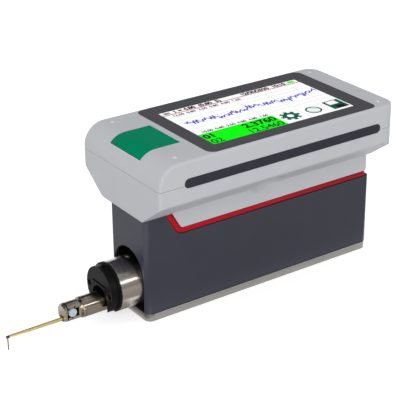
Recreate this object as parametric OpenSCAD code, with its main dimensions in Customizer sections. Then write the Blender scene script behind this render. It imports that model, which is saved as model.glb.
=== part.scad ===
// Surface roughness tester: hand unit with display on a motor driven feed unit
// Millimetres. X runs along the trace with the stylus at -X, Z up, origin under the middle of the foot.

/* [Hand unit] */
// Length of the hand unit
case_l = 158; // [157:0.5:168]
// Width of the hand unit
case_w = 75; // [74:0.5:82]
// Height of the upper shell, parting line to top
upper_h = 13.5; // [13.5:0.1:16]
// Height of the upright flank below the parting line
flank_h = 9.5; // [7:0.5:11]
// Height of the sloped underside
keel_h = 14.5; // [13:0.5:18]
// Radius of the round nose
nose_r = 12.5; // [11.5:0.1:12.5]
// Plan radius of the two rear corners
rear_r = 8; // [6:0.5:10]
// Radius of the small outer edges
edge_r = 1.5; // [1:0.1:1.6]
// Radius of the knee between flank and slope
knee_r = 2.5; // [2:0.5:6]
// Radius under the front of the lower shell
chin_r = 2.5; // [1:0.5:3]
// Moulded wall thickness
wall = 2.6; // [2.4:0.1:2.8]
// Width of the joint seen between the two shells
part_gap = 0.3; // [0.2:0.05:0.4]
// How far the hand unit stands out in front of the drive housing
case_over = 3.1; // [2:0.1:4]
// Radius of the ball shape that makes a finger scoop
scoop_r = 11; // [9:0.5:12]

/* [Display] */
// Length of the lit screen
screen_l = 95.04; // [92:0.02:96]
// Width of the lit screen
screen_w = 53.86; // [52:0.02:55]
// Front of the hand unit to the middle of the screen
screen_x = 88.6; // [88:0.1:90]
// Length of the dark frame
bezel_l = 113; // [112:0.5:114]
// Width of the dark frame
bezel_w = 72; // [71:0.1:72.4]
// Thickness of the dark frame
bezel_t = 0.5; // [0.4:0.1:1.6]

/* [Start button] */
// Length of the button along the hand unit
button_l = 24.6; // [22:0.1:25]
// Width of the button
button_w = 29; // [24:0.5:30]
// Stroke of the button
button_travel = 0.8; // [0.4:0.1:1]

/* [Grip strips] */
// Length of a grip strip
strip_l = 130.6; // [100:0.2:136]
// Height of a grip strip
strip_h = 5.2; // [4:0.1:6]

/* [Pedestal] */
// Height of the pedestal under the hand unit
ped_h = 9.7; // [9:0.1:12]
// Slant of the front of the pedestal, degrees from level
ped_slant = 60; // [55:1:70]
// Radius at the lower front of the pedestal
ped_r = 2; // [1:0.5:4]
// Thickness of the red bead
trim_t = 3.9; // [3:0.1:4.5]

/* [Drive unit] */
// Length of the drive housing
drive_l = 155; // [154:0.5:156]
// Width of the drive housing
drive_w = 35; // [34.6:0.1:37]
// Height of the low roof of the drive housing above the foot
drive_h = 42.7; // [41.5:0.1:46]
// Radius of the upright edges of the drive housing
drive_r = 3; // [2:0.5:4]
// Thickness of the steel foot
base_t = 4.2; // [3.6:0.1:5]
// How far the foot stands out at the sides
base_over = 0.5; // [0.2:0.1:1]

/* [Sleeve and lift] */
// Outer radius of the steel sleeve
sleeve_r = 14; // [13.9:0.05:14.2]
// Wall of the steel sleeve
sleeve_wall = 1.2; // [1.0:0.05:1.3]
// Length of sleeve in front of the drive housing
sleeve_out = 12.6; // [11:0.1:15]
// Stroke of the height adjustment
lift_travel = 5; // [3:0.5:5]

/* [Pick-up] */
// Radius of the pick-up
pickup_r = 5.8; // [5.5:0.1:6]
// Length of pick-up in front of the end cap
pickup_out = 12.8; // [10:0.2:16]
// Length of the trace
traverse = 17.5; // [5:0.5:18.5]
// Length of the probe arm, holder to stylus
arm_l = 31.7; // [24:0.1:45]
// Drop of the arm below the pick-up axis
arm_drop = 3.5; // [3.3:0.1:3.6]
// Radius of the stylus shank
needle_r = 0.35; // [0.3:0.05:0.5]
// Height of the resting stylus tip above the foot's plane
tip_gap = 0.35; // [0.3:0.05:0.8]

/* [Hidden] */
$fn = 96;

// Fits
run_fit = 0.05;
slip = 0.15;
clear = 0.25;
over = 1;

// Heights, from the foot up
z_roof = base_t + drive_h;
z_ped = z_roof + trim_t;
z_keel = z_ped + ped_h;
z_knee = z_keel + keel_h;
z_part = z_knee + flank_h;
z_top = z_part + upper_h;
roof_t = 3;
z_ceil = z_roof - roof_t;

// Lengths along the part
x_drive = -drive_l / 2;
x_front = x_drive - case_over;
x_rear = x_front + case_l;
x_screen = x_front + screen_x;
x_bezel0 = x_screen - bezel_l / 2;
x_bezel1 = x_screen + bezel_l / 2;
x_btn0 = x_front + (x_bezel0 - x_front - button_l) * 34 / 75;
x_btn1 = x_btn0 + button_l;
x_btn = (x_btn0 + x_btn1) / 2;
x_nose = x_front + nose_r;
z_nose = z_top - nose_r;

// Display stack
glass_t = 0.7;
panel_t = 2.9;
bezel_r = 5;
window_gap = 0.3;
panel_l = screen_l + 10.5;
panel_w = screen_w + 13.3;
glass_l = screen_l + 8;
glass_w = screen_w + 10;
z_glass = z_top - bezel_t;
z_panel = z_glass - glass_t;

// Shell joint
lip_t = 0.85;
lip_h = 2;
lip_in = wall - lip_t;

// Grip strips and studs
strip_in = 0.9;
strip_out = 0.2;
z_strip = z_part + 1.2;
stud_r = 1.1;
stud_out = 0.5;
stud_y = 30;
x_stud0 = x_nose + 1.9;
x_stud1 = x_bezel1 + (x_rear - x_bezel1) * 0.38;

// Pedestal and its cavity
ped_w = drive_w + 0.6;
bead_w = ped_w + 0.2;
x_bend = x_drive + 23.9;
z_bend = z_ped + ped_r;
x_ped_rear = min(x_rear, drive_l / 2) - 1.5;
floor_t = 3;
slope = atan2(keel_h, (case_w - ped_w) / 2);
slope_v = wall / cos(slope);
scoop_x = -3.5;
scoop_y = ped_w / 2 + 8.7;
scoop_z = z_keel + 3.4;

// Screws of the hand unit
case_screw_r = 1.25;
boss_r = 3;
case_screw_y = 11.8;
x_case0 = (x_btn1 + x_screen - panel_l / 2) / 2;
x_case1 = x_rear - 7.2;
joint_screw_r = 1.5;
joint_y = 9;
x_joint0 = x_case0 + 10.5;
x_joint1 = x_ped_rear - 18.2;

// Boards of the hand unit
board_t = 1.6;
z_board = z_knee + 3;
board_x0 = x_case0 + 7;
board_x1 = x_case1 - 8.5;
board_y = 29;
board_screw_r = 1;
board_screw_in = 5.5;
tongue_y = 7;
port_w = 9;
port_h = 3.2;
port_l = 7.5;
battery_h = 8;
bb_t = 1.2;
switch_h = 2.2;
plunger_h = 1;
btn_t = wall + 1.4;
z_stem = z_top - btn_t - 2.5;
z_bb = z_stem - button_travel - 0.1 - plunger_h - switch_h;
bb_screw_y = button_w / 2 + 4.5;

// Sleeve and slot
slot_gap = 0.8;
sleeve_in = sleeve_r - sleeve_wall;
spigot_r = sleeve_in - run_fit;
z_axis = base_t + 0.4 + sleeve_r;
slot_r = sleeve_r + slot_gap;
x_sleeve = x_drive - sleeve_out;
x_sleeve_rear = x_drive + drive_l * 35 / 62;
front_t = 4;
rear_t = 3;
rim_t = 1.4;
cap_r = sleeve_r - 1;
cap_t = 4.7;
cap_hole_r = 1.6;
cap_slit_t = 1.2;
mouth_up = 1.2;
x_rim = x_sleeve - rim_t;
x_cap = x_rim - cap_t;

// Pick-up
pick_gap = 0.4;
z_pick = z_axis - (sleeve_in - pick_gap - pickup_r);
x_pick = x_cap - pickup_out;
mouth_r = pickup_r + 1.7;
head_r = pickup_r - 0.6;
flat_y = 4;
neck_l = 1.2;
x_plate = x_pick - 10.5;
x_pivot = x_pick - 6;
z_pivot = z_pick + 0.6;
pin_r = 0.8;
cap_disc_r = 2.3;
cap_disc_t = 1.5;
pocket_t = 1.2;
lever_y = 1.5;
fork_gap = 0.4;

// Probe
z_arm = z_pick - arm_drop;
x_arm = x_plate - 0.3;
x_tip = x_arm - arm_l;
arm_r0 = 1;
arm_r1 = 0.85;
eye_r = 0.8;

// Traverse gear inside the sleeve
rod_r = 1.5;
rod_y = 7.5;
z_rod = z_axis + 5;
spindle_r = 1.5;
z_spindle = z_axis + 7.5;
x_bulk0 = x_sleeve + 4.1;
x_bulk1 = x_bulk0 + 10;
x_plate0 = x_sleeve_rear - 30;
plate_t = 4;
motor_r = sleeve_in - 7.5 - 0.3;
motor_l = 18;
carriage_r = sleeve_in - 0.8;
carriage_l = 22;
x_car = x_plate0 - traverse - 2.5 - carriage_l;
nut_r = 3;
nut_l = 6;
set_r = 1.6;
x_set = x_drive - 1;

// Lift gear behind the sleeve
x_lift = x_sleeve_rear + 12;
post_r = 2;
post_y = 11.2;
lift_screw_r = 2;
lift_motor_r = 8;
lift_motor_h = 13.8;
z_block = base_t + 15.8;
block_h = 14;
block_l = 24;
block_y = sleeve_r - 0.4;
lift_nut_r = 4;
nut_flange_t = 1.2;
z_bridge = z_block + block_h + lift_travel + 1.2;
bridge_l = 16;
post_deep = 2;

// Fasteners of the drive unit
base_screw_r = 1.25;
base_screw_y = slot_r - 2.4;
base_boss_r = 2.4;
base_boss_h = 3.6;
base_xs = [x_drive + 8.5, 0, drive_l / 2 - 7.5];
db_t = 1.6;
db_post = 4.3;
db_x0 = x_lift + 16;
db_x1 = drive_l / 2 - 7.5;
db_y = 13;
db_screw_in = 4;
db_screw_r = 0.9;

function dir(v) = v / norm(v);
function half_turn(a, b, c) = acos(dir(a - b) * dir(c - b)) / 2;
function near_pt(a, b, h, r) = b + dir(a - b) * r / tan(h);
function arc_mid(a, b, c, h, r) = b + dir(dir(a - b) + dir(c - b)) * r / sin(h);

// Polygon with true arcs at its outward corners
module round_poly(p, r) {
    n = len(p);
    polygon([
        for (i = [0:n - 1])
            let (a = p[(i + n - 1) % n], b = p[i], c = p[(i + 1) % n], h = half_turn(a, b, c))
                each (r[i] > 0 ? [near_pt(a, b, h, r[i]), near_pt(c, b, h, r[i])] : [b])
    ]);
    for (i = [0:n - 1])
        if (r[i] > 0)
            let (a = p[(i + n - 1) % n], b = p[i], c = p[(i + 1) % n], h = half_turn(a, b, c))
                translate(arc_mid(a, b, c, h, r[i])) circle(r[i]);
}

// Centred rectangle with round corners
module round_rect(l, w, r) {
    square([l - 2 * r, w], center = true);
    square([l, w - 2 * r], center = true);
    for (i = [-1, 1], j = [-1, 1])
        translate([i * (l / 2 - r), j * (w / 2 - r)]) circle(r);
}

// Profile in X and Z, drawn out over the width w
module across(w) {
    rotate([90, 0, 0]) linear_extrude(w, center = true) children();
}

// Profile in Y and Z, drawn out from x0 to x1
module along(x0, x1) {
    translate([x0, 0, 0]) rotate([90, 0, 90]) linear_extrude(x1 - x0) children();
}

module upright(z0, z1) {
    translate([0, 0, z0]) linear_extrude(z1 - z0) children();
}

module x_rod(r, x0, x1, y, z) {
    translate([x0, y, z]) rotate([0, 90, 0]) cylinder(r = r, h = x1 - x0);
}

module y_rod(r, x, z, y0, y1) {
    translate([x, y0, z]) rotate([-90, 0, 0]) cylinder(r = r, h = y1 - y0);
}

module z_rod_at(r, x, y, z0, z1) {
    translate([x, y, z0]) cylinder(r = r, h = z1 - z0);
}

module both_sides() {
    children();
    mirror([0, 1, 0]) children();
}

module slab(x0, x1, y, z0, z1) {
    translate([x0, -y, z0]) cube([x1 - x0, 2 * y, z1 - z0]);
}

// Plan of the hand unit, drawn in by d
module case_plan(d) {
    f = max(edge_r - d, 0.3);
    round_poly(
        [[x_front + d, d - case_w / 2], [x_rear - d, d - case_w / 2],
         [x_rear - d, case_w / 2 - d], [x_front + d, case_w / 2 - d]],
        [f, rear_r - d, rear_r - d, f]
    );
}

// Side view of the upper shell, drawn in by d
module case_side(d) {
    round_poly(
        [[x_front + d, z_part - 5], [x_rear - d, z_part - 5],
         [x_rear - d, z_top - d], [x_front + d, z_top - d]],
        [0, 0, max(edge_r - d, 0.3), nose_r - d]
    );
}

// What an outer edge loses to its rounding
module edge_waste(r) {
    difference() {
        translate([-r, -r]) square(r + over);
        translate([-r, -r]) circle(r);
    }
}

module upper_block(d) {
    intersection() {
        upright(z_part - 1, z_top) case_plan(d);
        across(case_w) case_side(d);
    }
}

module upper_edges() {
    both_sides() {
        along(x_nose, x_rear - rear_r) translate([case_w / 2, z_top]) edge_waste(edge_r);
        translate([x_nose, 0, z_nose]) rotate([90, 0, 0]) rotate([0, 0, 90])
            rotate_extrude(angle = 90) translate([nose_r, case_w / 2]) edge_waste(edge_r);
        translate([x_rear - rear_r, case_w / 2 - rear_r, 0])
            rotate_extrude(angle = 90) translate([rear_r, z_top]) edge_waste(edge_r);
    }
}

module strip_shape(g) {
    translate([0, z_strip]) round_rect(strip_l + 2 * g, strip_h + 2 * g, strip_h / 2 + g - 0.01);
}

module strip_bed() {
    both_sides()
        translate([0, case_w / 2 - strip_in + over, 0]) across(2 * over) strip_shape(slip);
}

module case_screw_spots() {
    for (x = [x_case0, x_case1], y = [-1, 1]) translate([x, y * case_screw_y, 0]) children();
}

module joint_spots() {
    for (x = [x_joint0, x_joint1], y = [-1, 1]) translate([x, y * joint_y, 0]) children();
}

module board_spots() {
    for (x = [board_x0 + board_screw_in, board_x1 - board_screw_in], y = [-1, 1])
        translate([x, y * (board_y - 4), 0]) children();
}

module stud_spots() {
    for (x = [x_stud0, x_stud1], y = [-1, 1]) translate([x, y * stud_y, 0]) children();
}

module base_spots() {
    for (x = base_xs, y = [-1, 1]) translate([x, y * base_screw_y, 0]) children();
}

module drive_board_spots() {
    for (x = [db_x0 + db_screw_in, db_x1 - db_screw_in], y = [-1, 1])
        translate([x, y * (db_y - 3), 0]) children();
}

module bridge_spots() {
    for (y = [-1, 1]) translate([x_lift + 5.5, y * 5, 0]) children();
}

// Pan head screw, head from z = 0 down, shank up
module screw_up(r, h, head_r, head_h) {
    difference() {
        union() {
            cylinder(r = r, h = h);
            translate([0, 0, -head_h]) cylinder(r = head_r, h = head_h);
        }
        translate([0, 0, -head_h - 0.01]) cylinder(r = r * 0.8, h = head_h * 0.6, $fn = 6);
    }
}

module upper_shell() {
    color("LightGray") difference() {
        union() {
            difference() {
                intersection() {
                    upper_block(0);
                    upright(z_part + part_gap / 2, z_top) case_plan(0);
                }
                upper_edges();
                upper_block(wall);
                upright(z_part - 1, z_part + lip_h + slip) case_plan(lip_in - slip);
            }
            intersection() {
                upper_block(wall / 2);
                union() {
                    case_screw_spots() z_rod_at(boss_r, 0, 0, z_part + slip, z_top);
                    for (y = [-1, 1]) z_rod_at(2.5, x_btn, y * bb_screw_y, z_bb, z_top);
                }
            }
        }
        translate([x_screen, 0, 0]) {
            upright(z_top - bezel_t, z_top + over)
                round_rect(bezel_l + 2 * slip, bezel_w + 2 * slip, bezel_r + slip);
            upright(z_part + lip_h, z_top) round_rect(panel_l + 1, panel_w + 1, 1);
        }
        slab(x_btn0 - clear, x_btn1 + clear, button_w / 2 + clear, z_nose + 1, z_top + over);
        strip_bed();
        stud_spots() z_rod_at(stud_r, 0, 0, z_top - 1, z_top + over);
        case_screw_spots() z_rod_at(case_screw_r, 0, 0, z_part, z_part + 7);
        for (y = [-1, 1]) z_rod_at(board_screw_r, x_btn, y * bb_screw_y, z_bb - over, z_bb + 5);
    }
}

// End view of the lower shell
module keel_shape() {
    round_poly(
        [[-ped_w / 2, z_keel], [ped_w / 2, z_keel], [case_w / 2, z_knee],
         [case_w / 2, z_part + over], [-case_w / 2, z_part + over], [-case_w / 2, z_knee]],
        [0, 0, knee_r, 0, 0, knee_r]
    );
}

module keel_cavity() {
    y_floor = ped_w / 2 + (wall - slope_v) / tan(slope);
    y_wall = case_w / 2 - wall;
    z_wall = z_keel + (y_wall - ped_w / 2) * tan(slope) + slope_v;
    round_poly(
        [[-y_floor, z_keel + wall], [y_floor, z_keel + wall], [y_wall, z_wall],
         [y_wall, z_part + 3], [-y_wall, z_part + 3], [-y_wall, z_wall]],
        [0, 0, knee_r - 1, 0, 0, knee_r - 1]
    );
}

// Side view of the pedestal, grown by d
module ped_side(d, x_end) {
    r = ped_r + d;
    n = [-sin(ped_slant), -cos(ped_slant)] * r;
    run = (z_keel + over - z_bend - n[1]) / sin(ped_slant);
    u = [-cos(ped_slant), sin(ped_slant)] * run;
    translate([x_bend, z_bend]) {
        circle(r);
        polygon([n + u, n, [0, -r], [x_end - x_bend, -r], [x_end - x_bend, z_keel + over - z_bend]]);
    }
}

module keel_block() {
    intersection() {
        along(x_front, x_rear) keel_shape();
        upright(z_keel - 1, z_part - part_gap / 2) case_plan(0);
        across(case_w) round_poly(
            [[x_front, z_keel], [x_rear, z_keel], [x_rear, z_part + over], [x_front, z_part + over]],
            [chin_r, chin_r, 0, 0]
        );
    }
}

module pedestal() {
    intersection() {
        across(ped_w) ped_side(0, x_ped_rear);
        upright(z_ped, z_keel + wall)
            translate([x_ped_rear - drive_l / 2, 0]) round_rect(drive_l, ped_w, drive_r);
    }
}

module scoop(r) {
    both_sides() translate([scoop_x, scoop_y, scoop_z]) sphere(r);
}

module lower_shell() {
    color("Silver") difference() {
        union() {
            difference() {
                union() {
                    keel_block();
                    pedestal();
                }
                difference() {
                    union() {
                        intersection() {
                            along(x_front, x_rear) keel_cavity();
                            upright(z_keel, z_part + 3) case_plan(wall);
                        }
                        slab(x_bend + 4.5, x_ped_rear - wall, ped_w / 2 - wall, z_ped + floor_t, z_knee);
                    }
                    scoop(scoop_r + wall);
                }
            }
            difference() {
                upright(z_part - 2, z_part + lip_h) case_plan(lip_in);
                upright(z_part - 3, z_part + lip_h + 1) case_plan(wall);
            }
            intersection() {
                union() {
                    keel_block();
                    pedestal();
                }
                union() {
                    case_screw_spots() z_rod_at(boss_r, 0, 0, z_ped, z_part);
                    joint_spots() z_rod_at(boss_r, 0, 0, z_ped, z_ped + floor_t + 4);
                    board_spots() z_rod_at(2.8, 0, 0, z_keel, z_board);
                }
            }
        }
        scoop(scoop_r);
        strip_bed();
        case_screw_spots() {
            z_rod_at(case_screw_r + slip, 0, 0, z_ped - over, z_part + over);
            z_rod_at(case_screw_r * 2 + slip, 0, 0, z_ped - over, z_ped + 2);
        }
        joint_spots() z_rod_at(joint_screw_r, 0, 0, z_ped - over, z_ped + floor_t + 3);
        board_spots() z_rod_at(board_screw_r, 0, 0, z_board - 5, z_board + over);
        translate([x_rear - wall - over, -port_w / 2 - slip, z_board + board_t - slip])
            cube([wall + 2 * over, port_w + 2 * slip, port_h + 2 * slip]);
    }
}

module display_bezel() {
    color("DimGray") translate([x_screen, 0, 0]) difference() {
        upright(z_glass, z_top) round_rect(bezel_l, bezel_w, bezel_r);
        upright(z_glass - over, z_top + over)
            round_rect(screen_l + 2 * window_gap, screen_w + 2 * window_gap, 0.8);
    }
}

module touch_panel() {
    color("WhiteSmoke") translate([x_screen, 0, 0]) upright(z_panel, z_glass) round_rect(glass_l, glass_w, 1);
}

module display_module() {
    color("White") translate([x_screen, 0, 0]) {
        upright(z_panel - panel_t, z_panel) round_rect(panel_l, panel_w, 0.8);
        upright(z_panel - panel_t - 1.2, z_panel - panel_t) square([60, 16], center = true);
    }
}

module side_strip_near() {
    color("DarkSlateGray") mirror([0, 1, 0]) side_strip();
}

module side_strip_far() {
    color("DarkSlateGray") side_strip();
}

module side_strip() {
    t = strip_in + strip_out;
    translate([0, case_w / 2 + strip_out - t / 2, 0]) across(t) strip_shape(0);
}

module top_studs() {
    color("Gray") stud_spots() translate([0, 0, z_top - 1]) {
        cylinder(r = stud_r, h = 1);
        translate([0, 0, 1]) intersection() {
            translate([0, 0, stud_out - (stud_r * stud_r / stud_out + stud_out) / 2])
                sphere((stud_r * stud_r / stud_out + stud_out) / 2);
            cylinder(r = stud_r, h = stud_out);
        }
    }
}

module start_button() {
    color("SeaGreen") {
        button_layer(0, btn_t, button_w);
        button_layer(wall + 0.2, btn_t, button_w + 3);
        z_rod_at(2.2, x_btn, 0, z_stem, z_top - btn_t + 0.5);
    }
}

// Part of the shell's own outline, between the depths d0 and d1
module button_layer(d0, d1, w) {
    across(w) intersection() {
        difference() {
            case_side(d0);
            case_side(d1);
        }
        translate([x_btn0, z_nose + 2.5]) square([button_l, nose_r]);
    }
}

module button_board() {
    color("DarkGreen") difference() {
        slab(x_btn - 8, x_btn + 8, bb_screw_y + 3.5, z_bb - bb_t, z_bb);
        for (y = [-1, 1]) z_rod_at(board_screw_r + slip, x_btn, y * bb_screw_y, z_bb - 3, z_bb + over);
    }
}

module button_switch() {
    color("Black") {
        slab(x_btn - 3, x_btn + 3, 3, z_bb, z_bb + switch_h);
        z_rod_at(1.6, x_btn, 0, z_bb + switch_h, z_bb + switch_h + plunger_h);
    }
}

module button_screws() {
    color("Silver") for (y = [-1, 1])
        translate([x_btn, y * bb_screw_y, z_bb - bb_t]) screw_up(board_screw_r, bb_t + 4, 1.9, 1.2);
}

module main_board() {
    color("DarkGreen") difference() {
        union() {
            slab(board_x0, board_x1, board_y, z_board, z_board + board_t);
            slab(board_x1 - over, x_rear - wall - slip, tongue_y, z_board, z_board + board_t);
        }
        board_spots() z_rod_at(board_screw_r + slip, 0, 0, z_board - over, z_board + 3);
    }
}

module processor_shield() {
    color("Silver") {
        slab(x_screen - 16, x_screen + 16, 12, z_board + board_t, z_board + board_t + 2.6);
        translate([x_screen + 24, -18, z_board + board_t]) cube([12, 36, 1.8]);
    }
}

module port_socket() {
    x0 = x_rear - 0.4 - port_l;
    color("Silver") translate([x0, 0, z_board + board_t]) difference() {
        translate([0, -port_w / 2, 0]) cube([port_l, port_w, port_h]);
        translate([1, 0.5 - port_w / 2, 0.5]) cube([port_l, port_w - 1, port_h - 1]);
    }
}

module board_screws() {
    color("Silver") board_spots() translate([0, 0, z_board + board_t]) mirror([0, 0, 1])
        screw_up(board_screw_r, board_t + 4, 1.9, 1.2);
}

module battery_pack() {
    x0 = x_joint0 + boss_r + 1;
    x1 = x_joint1 - boss_r - 1;
    y = min(ped_w / 2 - wall - 1, scoop_y - scoop_r - wall - 0.5);
    color("SteelBlue") translate([0, 0, z_ped + floor_t]) linear_extrude(battery_h)
        translate([(x0 + x1) / 2, 0]) round_rect(x1 - x0, 2 * y, 2);
}

module case_screws() {
    color("Silver") case_screw_spots() translate([0, 0, z_ped + 2])
        screw_up(case_screw_r, z_part + 6 - z_ped - 2, case_screw_r * 2, 1.6);
}

module drive_housing() {
    color("DimGray") difference() {
        union() {
            difference() {
                upright(base_t, z_keel) round_rect(drive_l, drive_w, drive_r);
                across(drive_w + 2) ped_side(trim_t, drive_l / 2 + over);
                slab(x_drive + front_t, drive_l / 2 - rear_t, slot_r, 0, z_ceil);
                along(x_drive - over, x_drive + front_t + over) {
                    translate([0, z_axis + lift_travel + 0.1]) circle(slot_r);
                    translate([-slot_r, 0]) square([2 * slot_r, z_axis + lift_travel + 0.1]);
                }
            }
            intersection() {
                upright(base_t, z_ceil + over) round_rect(drive_l, drive_w, drive_r);
                union() {
                    base_spots() z_rod_at(base_boss_r, 0, 0, base_t, base_t + base_boss_h);
                    foot_webs();
                    drive_board_spots() z_rod_at(2.2, 0, 0, z_ceil - db_post, z_ceil + 0.5);
                }
            }
        }
        base_spots() z_rod_at(base_screw_r, 0, 0, base_t - over, base_t + base_boss_h - 0.6);
        drive_board_spots() z_rod_at(db_screw_r, 0, 0, z_ceil - db_post - over, z_ceil - 0.5);
        joint_spots() z_rod_at(joint_screw_r + slip, 0, 0, z_ceil - over, z_roof + over);
        bridge_spots() z_rod_at(board_screw_r, 0, 0, z_ceil - over, z_ceil + 2);
    }
}

// Webs that tie the foot bosses to the side walls
module foot_webs() {
    both_sides() for (x = base_xs)
        translate([x - base_boss_r, base_screw_y, base_t])
            cube([2 * base_boss_r, slot_r - base_screw_y + 0.5, base_boss_h]);
}

// The bead's plate, which follows the pedestal's underside and its slanted front
module bead_plate() {
    across(bead_w) difference() {
        ped_side(trim_t, drive_l / 2 - 2.5);
        ped_side(0, drive_l / 2);
    }
}

module trim_gasket() {
    color("Firebrick") difference() {
        intersection() {
            bead_plate();
            slab(x_front, x_rear, case_w, 0, z_keel);
        }
        joint_spots() z_rod_at(joint_screw_r + slip, 0, 0, z_roof - over, z_ped + over);
    }
}

module joint_screws() {
    color("Silver") joint_spots() translate([0, 0, z_ceil])
        screw_up(joint_screw_r, z_ped + floor_t + 2 - z_ceil, 2.75, 1.8);
}

module base_plate() {
    color("LightSteelBlue") difference() {
        upright(0, base_t) round_rect(drive_l - 0.6, drive_w + 2 * base_over, drive_r + 1);
        base_spots() {
            z_rod_at(base_screw_r + slip, 0, 0, -over, base_t + over);
            translate([0, 0, -0.01]) cylinder(r1 = base_screw_r + 1.45, r2 = base_screw_r + slip, h = 1.3);
        }
        for (y = [-1, 1]) z_rod_at(post_r, x_lift, y * post_y, base_t - post_deep, base_t + over);
    }
}

module base_screws() {
    color("Silver") base_spots() difference() {
        union() {
            translate([0, 0, 0.15]) cylinder(r1 = base_screw_r + 1.2, r2 = base_screw_r, h = 1.2);
            z_rod_at(base_screw_r, 0, 0, 0.15, base_t + base_boss_h - 1);
        }
        z_rod_at(0.9, 0, 0, 0, 1.1, $fn = 6);
    }
}

module lift_motor() {
    color("Silver") difference() {
        union() {
            z_rod_at(lift_motor_r, x_lift, 0, base_t, base_t + lift_motor_h - 2);
            z_rod_at(3.5, x_lift, 0, base_t, base_t + lift_motor_h);
            slab(x_lift + 2, x_lift + lift_motor_r + 2, 4, base_t, base_t + 5);
        }
        z_rod_at(lift_screw_r + run_fit, x_lift, 0, base_t + 4, z_block);
    }
}

module lift_post(side) {
    z_rod_at(post_r, x_lift, side * post_y, base_t - post_deep, z_ceil - 0.5);
}

module lift_post_near() {
    color("Gainsboro") lift_post(-1);
}

module lift_post_far() {
    color("Gainsboro") lift_post(1);
}

module lift_bridge() {
    color("Gray") difference() {
        slab(x_lift - bridge_l / 2, x_lift + bridge_l / 2, block_y, z_bridge, z_ceil);
        for (y = [-1, 1]) z_rod_at(post_r, x_lift, y * post_y, z_bridge - over, z_ceil - 0.5);
        z_rod_at(lift_screw_r + run_fit, x_lift, 0, z_bridge - over, z_ceil - 0.5);
        bridge_spots() {
            z_rod_at(board_screw_r + slip, 0, 0, z_bridge - over, z_ceil + over);
            z_rod_at(2.1, 0, 0, z_bridge - over, z_bridge + 1.3);
        }
    }
}

module bridge_screws() {
    color("Silver") bridge_spots() translate([0, 0, z_bridge + 1.3])
        screw_up(board_screw_r, z_ceil + 1.5 - z_bridge - 1.3, 1.9, 1.2);
}

module drive_board() {
    z1 = z_ceil - db_post;
    color("DarkGreen") {
        difference() {
            slab(db_x0, db_x1, db_y, z1 - db_t, z1);
            drive_board_spots() z_rod_at(db_screw_r + slip, 0, 0, z1 - 3, z1 + over);
        }
        slab(db_x0 + 9, db_x0 + 17, 4, z1 - db_t - 1.4, z1 - db_t);
    }
}

module drive_board_screws() {
    color("Silver") drive_board_spots() translate([0, 0, z_ceil - db_post - db_t])
        screw_up(db_screw_r, db_t + 3, 1.7, 1.2);
}

module lift_screw() {
    color("Gainsboro") z_rod_at(lift_screw_r, x_lift, 0, base_t + 4.2, z_ceil - 0.8);
}

module lift_block() {
    color("Gray") difference() {
        union() {
            x_rod(spigot_r, x_sleeve_rear - 7, x_sleeve_rear, 0, z_axis);
            x_rod(block_y, x_sleeve_rear, x_sleeve_rear + 3, 0, z_axis);
            slab(x_sleeve_rear, x_sleeve_rear + block_l, block_y, z_block, z_block + block_h);
        }
        for (y = [-1, 1])
            z_rod_at(post_r + run_fit, x_lift, y * post_y, z_block - over, z_block + block_h + over);
        z_rod_at(lift_nut_r, x_lift, 0, z_block - over, z_block + block_h + over);
    }
}

module lift_nut() {
    color("Peru") difference() {
        union() {
            z_rod_at(lift_nut_r, x_lift, 0, z_block - nut_flange_t, z_block + block_h);
            z_rod_at(lift_nut_r + 1.5, x_lift, 0, z_block - nut_flange_t, z_block);
        }
        z_rod_at(lift_screw_r + run_fit, x_lift, 0, z_block - 3, z_block + block_h + over);
    }
}

module drive_sleeve() {
    color("Silver") difference() {
        x_rod(sleeve_r, x_sleeve, x_sleeve_rear, 0, z_axis);
        x_rod(sleeve_in, x_sleeve - over, x_sleeve_rear + over, 0, z_axis);
        z_rod_at(set_r + 0.2, x_set, 0, z_axis, z_axis + sleeve_r + over);
    }
}

// Mouth for the pick-up, open below
module mouth() {
    translate([0, z_pick + mouth_up]) circle(mouth_r);
    translate([-mouth_r, z_pick + mouth_up - 2 * mouth_r - 2]) square([2 * mouth_r, 2 * mouth_r + 2]);
}

module end_cap() {
    color("DarkSlateGray") difference() {
        union() {
            x_rod(cap_r, x_cap, x_rim + 0.5, 0, z_axis);
            x_rod(sleeve_r, x_rim, x_sleeve, 0, z_axis);
            x_rod(spigot_r, x_sleeve - 0.5, x_bulk0, 0, z_axis);
        }
        along(x_cap - over, x_bulk0 + over) mouth();
        slab(x_cap - over, x_cap + 1.8, 6.7, z_axis + 3.2, z_axis + 3.2 + cap_slit_t);
        both_sides() x_rod(cap_hole_r, x_cap - over, x_cap + 2.4, cap_r - cap_hole_r - 1, z_axis);
        z_rod_at(1.2, x_cap + cap_t - 1.6, 0, z_axis + cap_r - 1.5, z_axis + cap_r + over);
    }
}

module sleeve_screw() {
    z1 = z_axis + sleeve_r - 0.4;
    color("Gainsboro") difference() {
        z_rod_at(set_r, x_set, 0, z1 - 4, z1);
        z_rod_at(0.8, x_set, 0, z1 - 1.5, z1 + over, $fn = 6);
    }
}

module front_bulkhead() {
    color("Gray") difference() {
        x_rod(spigot_r, x_bulk0, x_bulk1, 0, z_axis);
        along(x_bulk0 - over, x_bulk1 + over) mouth();
        both_sides() x_rod(rod_r, x_bulk0 + 2, x_bulk1 + over, rod_y, z_rod);
        x_rod(spindle_r + run_fit, x_bulk0 + 1.5, x_bulk1 + over, 0, z_spindle);
        z_rod_at(set_r, x_set, 0, z_axis + sleeve_r - 4.4, z_axis + sleeve_r);
    }
}

module motor_plate() {
    color("Gray") difference() {
        x_rod(spigot_r, x_plate0, x_plate0 + plate_t, 0, z_axis);
        both_sides() x_rod(rod_r, x_plate0 - over, x_plate0 + 3, rod_y, z_rod);
        x_rod(spindle_r + 0.3, x_plate0 - over, x_plate0 + plate_t + over, 0, z_spindle);
    }
}

module guide_rod_near() {
    color("Gainsboro") x_rod(rod_r, x_bulk0 + 2, x_plate0 + 3, -rod_y, z_rod);
}

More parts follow.
